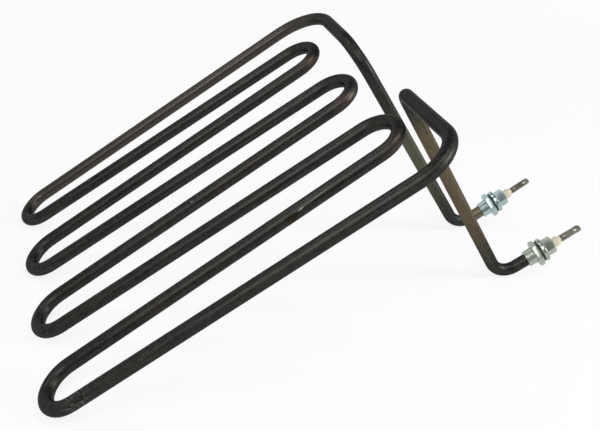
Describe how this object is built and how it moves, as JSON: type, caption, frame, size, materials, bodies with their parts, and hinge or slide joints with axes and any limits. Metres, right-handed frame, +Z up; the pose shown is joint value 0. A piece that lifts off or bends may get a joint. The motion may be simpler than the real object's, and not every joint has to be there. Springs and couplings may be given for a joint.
{
  "type": "tubular heating element",
  "caption": "Metal-sheathed heating tube bent into parallel runs on two legs, with screwed bushings, ceramic insulators and push-on tabs at both ends.",
  "frame": {"origin": "middle of the overall box, on the floor that the far bends and the right foot stand on", "axes": "+X level, from the far bends towards the legs and terminals; +Y to the left leg; +Z up"},
  "size_m": [0.371, 0.2646, 0.1496],
  "materials": {
    "sheath": "dark oxidised steel, satin",
    "plated_fitting": "zinc plated, satin",
    "gasket": "matte fibre ring",
    "insulator": "unglazed",
    "end_seal": "matte silicone",
    "terminal": "nickel plated, dulled"
  },
  "bodies": {
    "root": {"heating_tube": "sheath", "left_bushing": "plated_fitting", "left_lock_nut": "plated_fitting", "left_gasket": "gasket", "left_insulator": "insulator", "left_end_seal": "end_seal", "left_cold_pin": "terminal", "left_tab": "terminal", "right_bushing": "plated_fitting", "right_lock_nut": "plated_fitting", "right_gasket": "gasket", "right_insulator": "insulator", "right_end_seal": "end_seal", "right_cold_pin": "terminal", "right_tab": "terminal"}
  },
  "joints": []
}
